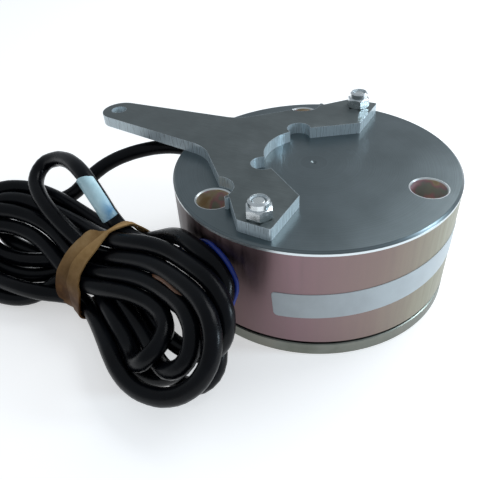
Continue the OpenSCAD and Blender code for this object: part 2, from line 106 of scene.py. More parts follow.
# the shoulders of a fan's round end, this far in from the end and off its middle, in half its height
shoulder_in = 0.3
shoulder_off = 0.72


def between(first, second, share):
    """Across and out of the slope, part of the way from one pair to another."""
    return [a + (b - a) * share for a, b in zip(first, second)]


def round_end(angle, end, first, last, depth, ease):
    """Five points round a fan's end, from its first run to its last, each run a height and a layer.
    The round starts this depth from the end, in half its height, and eases into the middle layer."""
    middle, half, w_end = (first[0] + last[0]) / 2, (first[0] - last[0]) / 2, (first[1] + last[1]) / 2
    inward = math.copysign(half, depth)
    return [
        in_hank(angle, end + abs(half) * depth, *first),
        in_hank(angle, end + inward * shoulder_in, middle + half * shoulder_off,
                first[1] * (1 - ease) + w_end * ease),
        in_hank(angle, end, middle, w_end),
        in_hank(angle, end + inward * shoulder_in, middle - half * shoulder_off,
                last[1] * (1 - ease) + w_end * ease),
        in_hank(angle, end + abs(half) * depth, *last),
    ]


route = [Vector(p) / 1000 for p in run_points]
before = None
for turn in turns:
    under, over = turn["under"], turn["over"]
    end, top, low, w_top, w_low, neck = turn["left"]
    if before:
        route += [in_hank(left_turn, -14, *between(before, (top, w_top), 0.35)),
                  in_hank(left_turn, -27, *between(before, (top, w_top), 0.75))]
    route += round_end(left_turn, end, (top, w_top), (low, w_low), 1.15, 0.2)
    route += [in_hank(left_turn, -28, neck * 0.9 + under[0] * 0.1, w_low * 0.8 + under[1] * 0.2),
              in_hank(left_turn, -14, neck * 0.5 + under[0] * 0.5, w_low * 0.4 + under[1] * 0.6),
              in_hank(right_turn, 1, *under), in_hank(right_turn, 13, *under)]
    end, top, low, w_top, w_low, neck = turn["right"]
    route += [in_hank(right_turn, 30, neck * 0.6 + under[0] * 0.4, w_low * 0.5 + under[1] * 0.5),
              in_hank(right_turn, 46, neck, w_low)]
    route += round_end(right_turn, end, (low, w_low), (top, w_top), -1, 0)
    route += [in_hank(right_turn, 46, top * 0.85 + over[0] * 0.15, w_top),
              in_hank(right_turn, 30, *between((top, w_top), over, 0.5)),
              in_hank(right_turn, 13, *over), in_hank(right_turn, 2, *over)]
    before = over
# the loose loop over the bundle, and the tail that goes back under the band, in millimetres
loop_points = [(-83.6, -73.9, 37), (-89.6, -73.2, 38), (-95.9, -72.1, 39.8), (-102.5, -70.1, 42.5),
               (-109.3, -67.2, 45.6), (-117.2, -63.7, 48.4), (-125.1, -57.1, 49.8), (-125.7, -51.1, 52.8),
               (-116.6, -49, 57), (-102.1, -52.4, 60.5), (-89.5, -57.6, 61.5), (-81.9, -61.4, 59.8),
               (-76.8, -62.1, 55), (-73.9, -61.2, 48), (-70.4, -61.1, 40.8)]
route += [Vector(p) / 1000 for p in loop_points]
tail_points = ((10, 14.5, 3), (19, 15.5, 2), (30, 20, 1), (42, 25, 1))
route += [in_hank(right_turn, *p) for p in tail_points]


def smooth_path(points, step):
    """Evenly spaced points on a smooth curve through the given ones."""
    pts = np.array([tuple(p) for p in points])
    pts = np.vstack([2 * pts[0] - pts[1], pts, 2 * pts[-1] - pts[-2]])
    fine = []
    for i in range(1, len(pts) - 2):
        a, b, c, d = pts[i - 1], pts[i], pts[i + 1], pts[i + 2]
        for t in np.linspace(0, 1, 24, endpoint=False):
            fine.append(0.5 * (2 * b + (c - a) * t + (2 * a - 5 * b + 4 * c - d) * t ** 2
                               + (3 * b - a - 3 * c + d) * t ** 3))
    fine.append(pts[-2])
    fine = np.array(fine)
    run = np.concatenate([[0], np.cumsum(np.linalg.norm(np.diff(fine, axis=0), axis=1))])
    even = np.linspace(0, run[-1], int(run[-1] / step) + 1)
    return np.column_stack([np.interp(even, run, fine[:, k]) for k in range(3)])


def press_apart(line, step, rounds):
    """Push the turns apart until they lie beside and on each other, clear of floor and wall."""
    # places nearer than this along the lead are on one bend, and don't push each other
    same_bend = 0.026
    spacing = cord_d * 1.01
    floor_gap, wall_gap = 0.0002, 0.0004
    near = int(same_bend / step)
    push = 0.35
    stiffness = 0.07
    gap = np.abs(np.subtract.outer(np.arange(len(line)), np.arange(len(line)))) > near
    # each round pushes close runs apart, takes out small waves, and keeps off floor and wall
    for _ in range(rounds):
        away = line[:, None, :] - line[None, :, :]
        apart = np.linalg.norm(away, axis=2) + 1e-9
        short = np.where(gap & (apart < spacing), spacing - apart, 0)
        move = (away / apart[:, :, None] * short[:, :, None]).sum(axis=1) * push
        for _ in range(3):
            move[1:-1] = move[1:-1] * 0.5 + (move[:-2] + move[2:]) * 0.25
        move[:3] = 0
        line = line + move
        bow = line[:-4] - 4 * line[1:-3] + 6 * line[2:-2] - 4 * line[3:-1] + line[4:]
        line[2:-2] -= bow * stiffness
        line[:, 2] = np.maximum(line[:, 2], cord_d / 2 + floor_gap)
        out = np.hypot(line[:, 0], line[:, 1])
        short = np.maximum(wall_r + cord_d / 2 + wall_gap - out, 0)
        short[:5] = 0
        line[:, 0] += line[:, 0] / out * short
        line[:, 1] += line[:, 1] / out * short
    return line


fine_step = 0.0045
lead_line = press_apart(smooth_path(route, fine_step), fine_step, 120)
lead_line = smooth_path(lead_line[::2], 2 * fine_step)
loop_top = int(np.argmax(lead_line[:, 2]))


def round_run(name, points, radius, roundness, steps):
    """A round cord or core along a smooth curve through its points."""
    curve = bpy.data.curves.new(name, "CURVE")
    curve.dimensions = "3D"
    curve.bevel_depth = radius
    curve.bevel_resolution = roundness
    curve.resolution_u = steps
    curve.use_fill_caps = True
    spline = curve.splines.new("BEZIER")
    spline.bezier_points.add(len(points) - 1)
    for point, place in zip(spline.bezier_points, points):
        point.co = place
        point.handle_left_type = point.handle_right_type = "AUTO"
    run = bpy.data.objects.new(name, curve)
    bpy.context.scene.collection.objects.link(run)
    return run


lead = round_run("lead", lead_line, cord_d / 2, 5, 3)


def start_material(name, colour, roughness, metallic=0.0, specular=0.5):
    """A node material with its plain values on the shader; the nodes that vary them come after."""
    material = bpy.data.materials.new(name)
    material.use_nodes = True
    material.diffuse_color = (*colour, 1)
    shader = material.node_tree.nodes["Principled BSDF"]
    shader.inputs["Base Color"].default_value = (*colour, 1)
    shader.inputs["Roughness"].default_value = roughness
    shader.inputs["Metallic"].default_value = metallic
    shader.inputs["Specular IOR Level"].default_value = specular
    return material, material.node_tree, shader


def add_node(tree, kind, inputs=None, **settings):
    """A node with its settings, and its inputs given as values or as sockets to link."""
    node = tree.nodes.new(kind)
    for key, value in settings.items():
        setattr(node, key, value)
    for key, value in (inputs or {}).items():
        if isinstance(value, bpy.types.NodeSocket):
            tree.links.new(value, node.inputs[key])
        else:
            node.inputs[key].default_value = value
    return node


def colour_steps(tree, value, stops):
    """Colour that changes with a value: pairs of a position and a colour."""
    ramp = add_node(tree, "ShaderNodeValToRGB", {"Fac": value})
    while len(ramp.color_ramp.elements) < len(stops):
        ramp.color_ramp.elements.new(0.5)
    for element, (place, colour) in zip(ramp.color_ramp.elements, stops):
        element.position = place
        element.color = (*colour, 1)
    return ramp.outputs["Color"]


def value_range(tree, value, low, high, to_low, to_high):
    """A value between two limits, spread evenly over another range."""
    node = add_node(tree, "ShaderNodeMapRange", {"Value": value, "From Min": low, "From Max": high,
                                                 "To Min": to_low, "To Max": to_high})
    return node.outputs["Result"]


def mix_colours(tree, factor, first, second):
    """Two colours mixed by a factor, each a plain colour or a socket."""
    node = tree.nodes.new("ShaderNodeMix")
    node.data_type = "RGBA"
    for socket, value in ((node.inputs[0], factor), (node.inputs[6], first), (node.inputs[7], second)):
        if isinstance(value, bpy.types.NodeSocket):
            tree.links.new(value, socket)
        else:
            socket.default_value = (*value, 1) if isinstance(value, tuple) else value
    return node.outputs[2]


def calculate(tree, operation, first, second=0.5):
    """One step of arithmetic on values or sockets."""
    return add_node(tree, "ShaderNodeMath", {0: first, 1: second}, operation=operation).outputs[0]


def multiply(tree, first, second):
    """The product of two values or sockets."""
    return calculate(tree, "MULTIPLY", first, second)


def noise(tree, place, scale, detail=2, roughness=0.5):
    """A plain noise at a scale per metre."""
    return add_node(tree, "ShaderNodeTexNoise", {"Vector": place, "Scale": scale, "Detail": detail,
                                                 "Roughness": roughness}).outputs["Fac"]


# surface grain: a fine and a broad variation that most of the finishes use
grain_group = bpy.data.node_groups.new("surface_grain", "ShaderNodeTree")
for title, kind in (("Place", "Vector"), ("Fine", "Float"), ("Broad", "Float")):
    grain_group.interface.new_socket(title, in_out="INPUT", socket_type="NodeSocket" + kind)
for title in ("Grain", "Patches"):
    grain_group.interface.new_socket(title, in_out="OUTPUT", socket_type="NodeSocketFloat")
given = grain_group.nodes.new("NodeGroupInput").outputs
grain = noise(grain_group, given["Place"], given["Fine"], 3)
patches = noise(grain_group, given["Place"], given["Broad"], 4, 0.6)
group_out = grain_group.nodes.new("NodeGroupOutput")
grain_group.links.new(grain, group_out.inputs["Grain"])
grain_group.links.new(patches, group_out.inputs["Patches"])


def place_grain(tree, place, fine, broad):
    """The grain group in a material, with its two outputs; fine and broad are its scales per metre."""
    node = add_node(tree, "ShaderNodeGroup", node_tree=grain_group)
    tree.links.new(place, node.inputs["Place"])
    node.inputs["Fine"].default_value = fine
    node.inputs["Broad"].default_value = broad
    return node.outputs["Grain"], node.outputs["Patches"]


def object_place(tree):
    """Place in the object's own coordinates."""
    return add_node(tree, "ShaderNodeTexCoord").outputs["Object"]


def split_axes(tree, place):
    """The three coordinates of a place."""
    axes = add_node(tree, "ShaderNodeSeparateXYZ", {"Vector": place})
    return axes.outputs["X"], axes.outputs["Y"], axes.outputs["Z"]


def link_finish(tree, shader, colour, roughness):
    """A finish's varied colour and roughness, linked to its shader."""
    tree.links.new(colour, shader.inputs["Base Color"])
    tree.links.new(roughness, shader.inputs["Roughness"])


def add_bump(tree, shader, height, distance, strength):
    """Small relief on a finish, by a height of up to this distance in metres."""
    bump = add_node(tree, "ShaderNodeBump", {"Height": height, "Distance": distance, "Strength": strength})
    tree.links.new(bump.outputs["Normal"], shader.inputs["Normal"])


def mottled_finish(name, colour, roughness, scales, stops, rough, relief,
                   rough_by="patches", relief_by="grain", **settings):
    """A finish whose colour follows the broad patches, by its stops. Its roughness and its relief, a
    distance and a strength, follow patches or grain."""
    material, tree, shader = start_material(name, colour, roughness, **settings)
    varied = dict(zip(("grain", "patches"), place_grain(tree, object_place(tree), *scales)))
    link_finish(tree, shader, colour_steps(tree, varied["patches"], stops),
                value_range(tree, varied[rough_by], 0.3, 0.7, *rough))
    add_bump(tree, shader, varied[relief_by], *relief)
    return material


# black sheath: soft shine, fine pits, and a little dust that dulls it in patches
lead.data.materials.append(mottled_finish(
    "black_sheath", (0.0015, 0.002, 0.003), 0.3, scales=(2600, 70),
    stops=[(0.35, (0.0008, 0.001, 0.002)), (0.75, (0.003, 0.004, 0.006))],
    rough=(0.22, 0.36), relief=(0.00006, 0.5), specular=0.16))
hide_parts("power_cord", "cord_loop", "cord_hank")
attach(lead, "brake")

# Rubber band: a flat tan band, wound twice round the bundle's waist. Its two layers lie half
# over each other, follow the turns below them, and draw together where they go over the edges.
waist_flat = Matrix.Rotation(right_turn, 3, "Z") @ Matrix.Rotation(hank_tilt, 3, "X")
in_waist = (smooth_path(lead_line, 0.0015) - np.array(hank_middle)) @ np.array(waist_flat) * 1000
waist_middle = np.array((-2, 0))
waist_reach = 25
angles = np.linspace(0, 2 * math.pi, 120, endpoint=False)
facing = np.column_stack([np.cos(angles), np.sin(angles)])


def taut_outline(along):
    """How far from the waist's middle a taut ring round the runs is, in each direction, in millimetres."""
    side = in_waist[:, 0] - along
    k = np.flatnonzero(side[:-1] * side[1:] < 0)
    share = (side[k] / (side[k] - side[k + 1]))[:, None]
    runs = (in_waist[k] * (1 - share) + in_waist[k + 1] * share)[:, 1:] - waist_middle
    runs = runs[np.abs(runs).max(axis=1) < waist_reach]
    support = (facing @ runs.T).max(axis=1) + cord_d / 2 * 1000
    lean = np.maximum(facing @ facing.T, 0.01)
    return (support[:, None] / lean).min(axis=0)


# the taut outlines along the waist, a little evened out from one to the next
stations = np.arange(-3, 30, 1.5)
outlines = np.array([taut_outline(along) for along in stations])
for _ in range(2):
    outlines[1:-1] = outlines[1:-1] * 0.5 + (outlines[:-2] + outlines[2:]) * 0.25
# the band's middle and its two edges along the waist, and its least width, in millimetres
band_along = 12
band_left = 3.5
band_right = 18.5
least_width = 3.5


def band_layer(name, first, last, rise):
    """One layer, between two shares of the band's width, that follows the turns at a small rise."""
    bpy.ops.object.select_all(action="DESELECT")
    bpy.ops.mesh.primitive_grid_add(x_subdivisions=len(angles), y_subdivisions=8, size=1)
    piece = bpy.context.object
    piece.name = piece.data.name = name
    mesh = bmesh.new()
    mesh.from_mesh(piece.data)
    for vert in mesh.verts:
        k = int(round((vert.co.x + 0.5) * len(angles))) % len(angles)
        across = waist_middle[0] + facing[k][0] * float(np.interp(band_along, stations, outlines[:, k]))
        # the left edge swings in toward the bundle's upper and lower edges, the right one out at the lower
        right_edge = band_right + 4 * min(max((-8 - across) / 8, 0), 1)
        left_edge = min(band_left + ((across + 8) / 6.6) ** 2, right_edge - least_width)
        wave = 0.02 * math.sin(k * 0.21 + first * 9)
        share = first + (last - first) * (vert.co.y + 0.5) + wave
        along = left_edge + (right_edge - left_edge) * share
        reach = float(np.interp(along, stations, outlines[:, k])) + rise
        reach += 0.12 * math.sin(k * 0.3 + share * 6) * math.cos(k * 0.11 + first * 4)
        vert.co = in_hank(right_turn, along, waist_middle[0] + facing[k][0] * reach,
                          waist_middle[1] + facing[k][1] * reach)
    bmesh.ops.remove_doubles(mesh, verts=mesh.verts, dist=0.00002)
    bmesh.ops.recalc_face_normals(mesh, faces=mesh.faces)
    mesh.to_mesh(piece.data)
    mesh.free()
    layer = piece.data.attributes.new("layer", "FLOAT", "POINT")
    layer.data.foreach_set("value", [first] * len(piece.data.vertices))
    thick = piece.modifiers.new("thick", "SOLIDIFY")
    thick.thickness = 0.0009
    thick.offset = 0
    round_edge = piece.modifiers.new("edge", "BEVEL")
    round_edge.width = 0.0003
    round_edge.segments = 2
    for modifier in ("thick", "edge"):
        bpy.ops.object.modifier_apply(modifier=modifier)
    piece.location = (0, 0, 0)
    bpy.ops.object.shade_smooth_by_angle(angle=math.radians(40))
    return piece


band = band_layer("band_round_the_bundle", 0.0, 0.66, 0.7)
upper_layer = band_layer("band_upper_layer", 0.5, 1.0, 1.7)
band.select_set(True)
bpy.context.view_layer.objects.active = band
bpy.ops.object.join()
rubber, tree, shader = start_material("tan_rubber", (0.17, 0.11, 0.05), 0.5, specular=0.15)
place = object_place(tree)
_, patches = place_grain(tree, place, fine=1500, broad=90)
# a darker tan for painted shade, and the band's plain tan
shaded_tan = colour_steps(tree, patches, [(0.3, (0.04, 0.015, 0.003)), (0.5, (0.09, 0.036, 0.008)),
                                       (0.72, (0.18, 0.08, 0.02))])
plain_tan = colour_steps(tree, patches, [(0.3, (0.34, 0.195, 0.07)), (0.5, (0.46, 0.28, 0.115)),
                                     (0.72, (0.57, 0.39, 0.19))])
# the upper layer is a little lighter than the lower one, and the band is painted darker toward the floor as
# shade
layer = add_node(tree, "ShaderNodeAttribute", attribute_name="layer").outputs["Fac"]
_, _, height = split_axes(tree, place)
unshaded_share = multiply(tree, value_range(tree, layer, 0, 0.5, 0.7, 1),
               value_range(tree, height, 0.019, 0.036, 0, 1))
link_finish(tree, shader, mix_colours(tree, unshaded_share, shaded_tan, plain_tan),
            value_range(tree, patches, 0.3, 0.7, 0.6, 0.4))
add_bump(tree, shader, patches, 0.0004, 0.6)
band.data.materials.clear()
band.data.materials.append(rubber)
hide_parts("rubber_band")
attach(band, "brake")

# Tape: a pale strip of plastic tape, stuck along the loose loop and pressed flat, so that it
# stands out on the loop's inner side. Its lower end is smudged blue.
tape_high_z, tape_low_z = 0.0608, 0.0420
tape_run = smooth_path(lead_line[loop_top:], 0.0005)
tape_run = tape_run[(tape_run[:, 2] < tape_high_z) & (tape_run[:, 2] > tape_low_z)]
wrap_start, wrap_width = math.radians(-56), math.radians(118)
stuck_width = 0.7
end_slant = 0.22
smudge_from_x, smudge_full_x = -0.0745, -0.0705
bpy.ops.object.select_all(action="DESELECT")
bpy.ops.mesh.primitive_grid_add(x_subdivisions=28, y_subdivisions=20, size=1)
tape = bpy.context.object
tape.name = tape.data.name = "tape_on_the_loop"
towards_front = Vector((0.45, -0.72, 0.53))
film_gap = 0.0003
tape_mesh = bmesh.new()
tape_mesh.from_mesh(tape.data)
for vert in tape_mesh.verts:
    across = vert.co.x + 0.5
    share = min(max(vert.co.y + 0.5, 0), 1)
    # its upper end is cut aslant
    share += (1 - share) * end_slant * (1 - across)
    run = share * (len(tape_run) - 4)
    here, ahead = Vector(tape_run[int(run)]), Vector(tape_run[int(run) + 2])
    here = here.lerp(Vector(tape_run[int(run) + 1]), run % 1)
    along = (ahead - here).normalized()
    out = (towards_front - along * towards_front.dot(along)).normalized()
    left = out.cross(along)
    left = left if left.x < 0 else -left
    r = cord_d / 2 + film_gap
    turn = wrap_start + min(across, stuck_width) / stuck_width * wrap_width
    free_width = 0.0018 + 0.0012 * share
    flap = max(across - stuck_width, 0) / (1 - stuck_width) * free_width
    side = r * math.sin(turn) + flap * math.cos(turn)
    lift = r * math.cos(turn) - flap * math.sin(turn)
    curl = 0.00015 * math.sin(vert.co.y * 9 + vert.co.x * 5)
    vert.co = here + left * side + out * (lift + curl)
tape_mesh.normal_update()
tape_mesh.to_mesh(tape.data)
tape_mesh.free()
thick = tape.modifiers.new("thick", "SOLIDIFY")
thick.thickness = 0.00035
thick.offset = 0
bpy.ops.object.modifier_apply(modifier="thick")
tape.location = (0, 0, 0)
bpy.ops.object.shade_smooth_by_angle(angle=math.radians(45))
film, tree, shader = start_material("pale_tape", (0.40, 0.60, 0.66), 0.38)
place = object_place(tree)
_, patches = place_grain(tree, place, fine=900, broad=160)
along, _, _ = split_axes(tree, place)
low_end = value_range(tree, along, smudge_from_x, smudge_full_x, 0, 1)
smudge = multiply(tree, low_end, value_range(tree, patches, 0.35, 0.6, 0.2, 1))
pale = colour_steps(tree, patches, [(0.35, (0.48, 0.70, 0.76)), (0.65, (0.60, 0.82, 0.88))])
link_finish(tree, shader, mix_colours(tree, smudge, pale, (0.14, 0.34, 0.55)),
            value_range(tree, patches, 0.3, 0.7, 0.3, 0.5))
add_bump(tree, shader, patches, 0.0002, 0.4)
tape.data.materials.append(film)
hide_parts("tape_sleeve")
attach(tape, "brake")

# Cores: the lead's two wires in their coloured plastic insulation, stripped of the sheath at
# its far end. The blue one lies along the outer turn and goes down behind it, and the brown
# one lies between two turns.
core_r = 0.00105
blue_points = [(-39.5, -63.5, 36.2), (-34.2, -62, 38.9), (-28.8, -60.7, 41.3), (-24.2, -60.3, 45.4),
               (-19.1, -62.2, 48), (-13.9, -64.4, 48.1), (-8.7, -66.4, 46.3), (-4.4, -68.3, 42.8),
               (-1.6, -70.3, 37.4), (-1.6, -74.2, 32), (-2.3, -77, 28.5)]
brown_points = [(-39.5, -63.5, 36.2), (-41, -68, 33), (-42, -73.5, 32.5), (-38.5, -76.8, 34.3),
                (-34.4, -79.3, 36.8), (-29.4, -80.9, 38), (-24.1, -82.7, 38.2), (-19.1, -84, 37.5),
                (-15.2, -83.6, 36), (-13.8, -84.5, 32)]


def insulated_core(name, points, colour, slot, node):
    """A smooth round core through its points, in its own colour."""
    core = round_run(name, [Vector(place) / 1000 for place in points], core_r, 4, 8)
    dull = tuple(c * 0.6 for c in colour)
    core.data.materials.append(mottled_finish(
        slot, colour, 0.32, scales=(2200, 260), stops=[(0.3, dull), (0.6, colour)],
        rough=(0.25, 0.42), relief=(0.00004, 0.4)))
    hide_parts(node)
    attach(core, "brake")
    return core


blue_core = insulated_core("blue_core_of_the_lead", blue_points, (0.006, 0.028, 0.24), "blue_insulation",
                           "blue_core")
brown_core = insulated_core("brown_core_of_the_lead", brown_points, (0.17, 0.07, 0.03), "brown_insulation",
                            "brown_core")

# Bare ends: seven fine copper wires in each core, six twisted round one, a little tarnished.
# They are what is left when the insulation is pulled off the end of a core.
copper = mottled_finish(
    "bare_copper", (0.5, 0.22, 0.11), 0.35, scales=(2500, 400),
    stops=[(0.3, (0.24, 0.09, 0.05)), (0.65, (0.62, 0.28, 0.14))],
    rough=(0.28, 0.5), relief=(0.00003, 0.5), metallic=1.0)
wire_r = 0.0002
wire_step = 0.0005
twist_step = 0.35


def wire_runs(name, radius, runs):
    """Round wire along each of several runs of points."""
    curve = bpy.data.curves.new(name, "CURVE")
    curve.dimensions = "3D"
    curve.bevel_depth = radius
    curve.bevel_resolution = 2
    curve.use_fill_caps = True
    for run in runs:
        spline = curve.splines.new("POLY")
        spline.points.add(len(run) - 1)
        for point, place in zip(spline.points, run):
            point.co = (*place, 1)
    wire = bpy.data.objects.new(name, curve)
    bpy.context.scene.collection.objects.link(wire)
    return wire


def bare_wires(name, points, node):
    """The twisted wires that stand out six millimetres from a core's cut end."""
    root, before = Vector(points[-1]) / 1000, Vector(points[-2]) / 1000
    along = (root - before).normalized()
    side = along.orthogonal().normalized()
    up = along.cross(side)
    runs = []
    for wire in range(7):
        from_middle = 0 if wire == 6 else 2 * wire_r
        angles = [wire * math.pi / 3 + i * twist_step for i in range(14)]
        runs.append([root + along * (wire_step * (i - 1))
                     + (side * math.cos(angle) + up * math.sin(angle)) * from_middle
                     for i, angle in enumerate(angles)])
    wires = wire_runs(name, wire_r, runs)
    wires.data.materials.append(copper)
    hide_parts(node)
    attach(wires, "brake")
    return wires


wire_ends = [bare_wires("blue_bare_end", blue_points, "blue_wire_end"),
             bare_wires("brown_bare_end", brown_points, "brown_wire_end")]

# Grommet: a black rubber bush with a thin collar. It is pressed into the wall of the magnet
# body, and the lead comes out through it.
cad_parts["cable_grommet"].data.materials[0] = mottled_finish(
    "black_rubber", (0.012, 0.012, 0.013), 0.6, scales=(1800, 120),
    stops=[(0.3, (0.008, 0.008, 0.009)), (0.7, (0.022, 0.022, 0.023))],
    rough=(0.5, 0.75), relief=(0.0001, 0.5), rough_by="grain")

# Magnet body: a turned steel pot. The wall keeps its yellow passivated finish, which
# shimmers from olive to pink, and is painted dark as shade on the side toward the bundle.
# The rear face is turned clean; its bevel and a ring round each screw hole's mouth are
# painted pale as highlights, and the screw holes show the yellow finish inside.
body_r = 0.065
bevel_low_z, bevel_high_z = 0.0549, 0.05598
foot_z = 0.0077
wall_from_r = 0.0638
hole_circle_r = 0.0521
hole_r = 0.00752
mouth_highlight_r = 0.00825
plain_middle_r = 0.006
streak_stretch = 0.06
# the bearings between which the wall's colour changes: its hue shifts, and the side toward the bundle is
# painted dark as shade
shade_and_tint_from, shade_and_tint_to = -2.7, -0.1


def from_axis(tree, x, y):
    """How far a point lies from the upright axis that x and y are measured from."""
    return calculate(tree, "SQRT", calculate(tree, "ADD", multiply(tree, x, x), multiply(tree, y, y)))


def turned_rings(tree, radius, scale):
    """The fine rings that a turning tool leaves round the axis."""
    inputs = {"W": multiply(tree, radius, scale), "Scale": 1, "Detail": 2}
    return add_node(tree, "ShaderNodeTexNoise", inputs, noise_dimensions="1D").outputs["Fac"]


def blend(tree, share, first, second):
    """Two values blended by a share."""
    return add_node(tree, "ShaderNodeMix", {0: share, 2: first, 3: second}).outputs[0]


body, tree, shader = start_material("passivated_steel", (0.2, 0.16, 0.14), 0.35, 1.0)
place = object_place(tree)
x, y, z = split_axes(tree, place)
radius = from_axis(tree, x, y)
bearing = calculate(tree, "ARCTAN2", y, x)
_, patches = place_grain(tree, place, fine=1500, broad=38)
rings = turned_rings(tree, calculate(tree, "MAXIMUM", radius, plain_middle_r), 2600)
# upright streaks round the wall, and a colour that changes round it: the finish's hue, with painted shade
# on the side toward the bundle
streak_place = add_node(tree, "ShaderNodeCombineXYZ", {"X": multiply(tree, bearing, body_r),
                                                       "Y": multiply(tree, z, streak_stretch)}).outputs[0]
streaks = noise(tree, streak_place, 420, 4, 0.65)
shimmer = noise(tree, place, 22, 3)
shade_and_tint_around = value_range(tree, bearing, shade_and_tint_from, shade_and_tint_to, 0, 1)
# the lowest stops are painted shade, dark where the bundle stands before the wall
wall_tint_and_shade = colour_steps(tree, calculate(tree, "ADD", shade_and_tint_around, multiply(tree, shimmer, 0.10)),
                    [(0.05, (0.045, 0.045, 0.04)), (0.20, (0.05, 0.042, 0.045)), (0.36, (0.14, 0.09, 0.09)),
                     (0.62, (0.24, 0.155, 0.17)), (0.80, (0.25, 0.19, 0.17)), (1.0, (0.30, 0.30, 0.22))])
wall_tint_and_shade = mix_colours(tree, value_range(tree, streaks, 0.35, 0.7, 0, 0.25), wall_tint_and_shade, (0.26, 0.20, 0.20))
face = colour_steps(tree, patches, [(0.35, (0.158, 0.19, 0.20)), (0.65, (0.188, 0.225, 0.238))])
face = mix_colours(tree, value_range(tree, rings, 0.3, 0.7, 0, 0.35), face, (0.10, 0.12, 0.125))
inside = colour_steps(tree, noise(tree, place, 110),
                      [(0.38, (0.52, 0.62, 0.58)), (0.46, (0.80, 0.50, 0.58)), (0.53, (0.80, 0.74, 0.56)),
                       (0.62, (0.64, 0.52, 0.30))])
# which part of the body a point is on
top = calculate(tree, "GREATER_THAN", z, bevel_low_z)
foot = calculate(tree, "LESS_THAN", z, foot_z)
outer = calculate(tree, "GREATER_THAN", radius, wall_from_r)
bevel_highlight = multiply(tree, multiply(tree, top, outer), calculate(tree, "LESS_THAN", z, bevel_high_z))
in_hole = mouth_highlight = 0.0
for hole in range(3):
    angle = math.radians(120 * hole)
    from_hole = from_axis(tree, calculate(tree, "SUBTRACT", x, hole_circle_r * math.cos(angle)),
                          calculate(tree, "SUBTRACT", y, hole_circle_r * math.sin(angle)))
    in_hole = calculate(tree, "MAXIMUM", in_hole, calculate(tree, "LESS_THAN", from_hole, hole_r))
    mouth_highlight = calculate(tree, "MAXIMUM", mouth_highlight, calculate(tree, "LESS_THAN", from_hole, mouth_highlight_r))
colour = mix_colours(tree, outer, inside, wall_tint_and_shade)
colour = mix_colours(tree, calculate(tree, "MAXIMUM", top, foot), colour, face)
# the bevel painted pale, as a highlight along the rim
colour = mix_colours(tree, bevel_highlight, colour, (0.72, 0.78, 0.80))
# a ring round each hole's mouth painted pale, as a highlight on its edge
colour = mix_colours(tree, multiply(tree, mouth_highlight, top), colour, (0.72, 0.76, 0.76))
colour = mix_colours(tree, in_hole, colour, inside)
rough_wall = value_range(tree, streaks, 0.3, 0.7, 0.30, 0.46)
rough_face = value_range(tree, patches, 0.3, 0.7, 0.29, 0.33)
link_finish(tree, shader, colour, blend(tree, top, rough_wall, rough_face))
add_bump(tree, shader, blend(tree, top, multiply(tree, streaks, 0.3), rings), 0.00006, 0.4)
tree.links.new(calculate(tree, "SUBTRACT", 1.0, multiply(tree, in_hole, 0.4)), shader.inputs["Metallic"])
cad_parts["magnet_body"].data.materials[0] = body

# Coil: a moulded bobbin wound with enamelled wire, under a ring of dark resin that
# closes the groove. Only the resin shows from the front.
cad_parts["coil_bobbin"].data.materials[0] = mottled_finish(
    "moulded_plastic", (0.62, 0.56, 0.42), 0.5, scales=(1600, 90),
    stops=[(0.3, (0.54, 0.48, 0.35)), (0.7, (0.68, 0.62, 0.48))],
    rough=(0.42, 0.6), relief=(0.00008, 0.4), rough_by="grain")


def upright_waves(tree, height, pitch):
    """A wave up the axis, one to each pitch, as wound wire or a thread makes."""
    return calculate(tree, "SINE", multiply(tree, height, 2 * math.pi / pitch))


winding_pitch = 0.0005
winding, tree, shader = start_material("copper", (0.42, 0.16, 0.06), 0.3, 0.8)
place = object_place(tree)
_, _, height = split_axes(tree, place)
wires = upright_waves(tree, height, winding_pitch)
_, patches = place_grain(tree, place, fine=1800, broad=120)
# the gaps between turns of wire are painted darker, as shade
link_finish(tree, shader, colour_steps(tree, value_range(tree, wires, -1, 1, 0, 1),
                                       [(0.1, (0.16, 0.05, 0.02)), (0.6, (0.52, 0.21, 0.08))]),
            value_range(tree, patches, 0.3, 0.7, 0.24, 0.4))
add_bump(tree, shader, wires, 0.00012, 0.8)
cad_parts["coil_winding"].data.materials[0] = winding
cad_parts["potting_ring"].data.materials[0] = mottled_finish(
    "resin", (0.025, 0.024, 0.022), 0.35, scales=(900, 70),
    stops=[(0.3, (0.016, 0.015, 0.014)), (0.7, (0.042, 0.038, 0.033))],
    rough=(0.22, 0.5), relief=(0.0003, 0.5), relief_by="patches")

# Torque springs: six springs wound from round wire with a thin film of oil, closed at both
# ends, one in each pocket of the pole. They push on the armature.
spring_count = 6
pocket_circle_r = 0.02125
coil_r = 0.0032
coils = 5.8
closed_coils = 0.9
spring_low_z, spring_high_z = 0.0072, 0.0288
spring_wire_r = 0.00078
